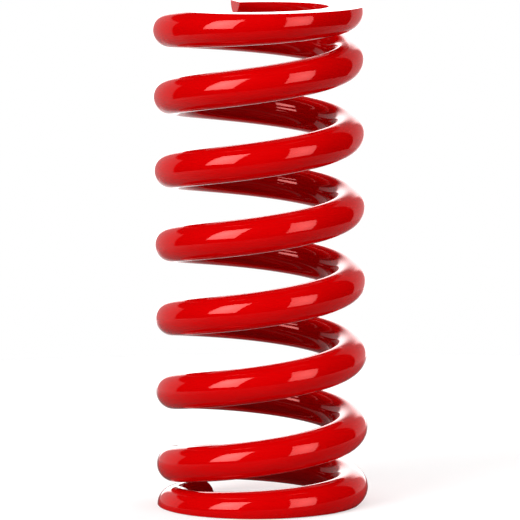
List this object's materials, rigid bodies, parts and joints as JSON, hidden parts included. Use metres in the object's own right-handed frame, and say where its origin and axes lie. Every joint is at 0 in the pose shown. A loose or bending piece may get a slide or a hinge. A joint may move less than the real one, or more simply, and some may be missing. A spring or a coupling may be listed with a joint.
{
  "type": "shock absorber spring",
  "caption": "Right-hand compression coil spring of round red-painted wire, with closed and ground ends, that sits between the seats of a coil-over shock absorber.",
  "frame": {"origin": "centre of the lower ground face, on the axis of the coil", "axes": "+Z along the axis of the coil, from the lower ground face to the upper one; the picture's camera is on the -Y side, with +X to its right"},
  "size_m": [0.0848, 0.0848, 0.2],
  "materials": {
    "painted_wire": "gloss"
  },
  "bodies": {
    "root": {"spring": "painted_wire"}
  },
  "joints": []
}
